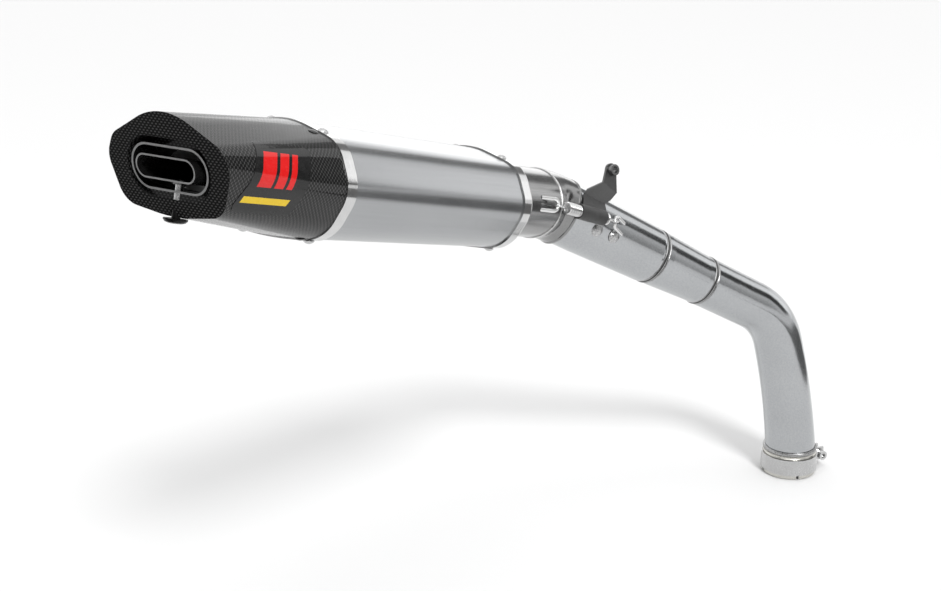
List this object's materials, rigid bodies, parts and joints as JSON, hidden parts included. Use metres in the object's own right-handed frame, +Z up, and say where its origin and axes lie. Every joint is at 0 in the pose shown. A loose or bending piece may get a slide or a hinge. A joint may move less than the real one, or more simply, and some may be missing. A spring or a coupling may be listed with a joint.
{
  "type": "racing exhaust system",
  "caption": "Slip-on motorcycle exhaust: bent link pipe with clamp socket and hanger, and a hexagonal muffler with a woven composite end cap and slot outlet.",
  "frame": {"origin": "centre of the inlet socket's mouth, on its axis", "axes": "+Z up along the socket, +X towards the front of the machine, +Y to its left; the muffler lies towards -X"},
  "size_m": [0.8043, 0.2646, 0.5042],
  "materials": {
    "titanium_pipe": "smooth drawn titanium",
    "titanium_sleeve": "brushed along the length",
    "polished_band": "polished",
    "weld": "rippled weld bead",
    "socket_steel": "turned",
    "carbon": "clear-coated woven carbon",
    "black_tube": "black, glossy",
    "zinc": "zinc plated",
    "spring_wire": "bright",
    "rubber": "matt",
    "badge": "glossy",
    "black_fastener": "satin black",
    "packing": "long glass wool",
    "inner_steel": "plain",
    "bracket": "bead blasted",
    "dark_titanium": "satin titanium, darker by heat",
    "turned_bush": "turned, oiled"
  },
  "bodies": {
    "link_pipe": {"inlet_socket": "socket_steel", "socket_weld": "weld", "link_pipe_lower": "titanium_pipe", "ring_joint_lower": "weld", "link_pipe_centre": "titanium_pipe", "ring_joint_upper": "weld", "link_pipe_upper": "titanium_pipe", "hanger_bracket": "bracket", "hanger_bush": "turned_bush", "bracket_weld": "weld", "spring_lug_pipe": "spring_wire", "lug_weld_pads": "weld", "spring": "spring_wire", "spring_sleeve": "rubber"},
    "muffler": {"inlet_elbow": "dark_titanium", "inlet_stub": "dark_titanium", "elbow_weld": "weld", "muffler_sleeve": "titanium_sleeve", "rear_band": "polished_band", "front_band": "polished_band", "front_baffle": "inner_steel", "rear_baffle": "inner_steel", "packing": "packing", "front_cap": "polished_band", "stub_weld": "weld", "end_cap": "carbon", "cap_badge": "badge", "outlet_tube": "black_tube", "noise_insert": "black_tube", "perforated_core": "inner_steel", "front_band_rivets": "zinc", "rear_band_rivets": "zinc", "end_cap_rivets": "black_fastener", "spring_lug_muffler": "spring_wire"},
    "clamp": {"clamp_band": "zinc", "clamp_nut": "zinc"},
    "clamp_bolt": {"clamp_bolt": "zinc"},
    "insert_screw": {"insert_screw": "black_fastener"}
  },
  "joints": [
    {"name": "muffler_slip", "type": "slide", "parent": "link_pipe", "child": "muffler", "axis": [-0.7356, 0.4777, 0.4802], "range_m": [0, 0.006], "deforming": ["spring", "spring_sleeve"]},
    {"name": "clamp_turn", "type": "hinge", "parent": "link_pipe", "child": "clamp", "pos_m": [0, 0, 0.0133], "axis": [0, 0, 1], "continuous": true},
    {"name": "clamp_bolt_turn", "type": "hinge", "parent": "clamp", "child": "clamp_bolt", "pos_m": [0.03172, -0.01906, 0.01325], "axis": [0.515, 0.8572, 0], "continuous": true},
    {"name": "insert_screw_turn", "type": "hinge", "parent": "muffler", "child": "insert_screw", "pos_m": [-0.75216, 0.1679, 0.43083], "axis": [0.2588, 0, 0.9659], "continuous": true}
  ]
}
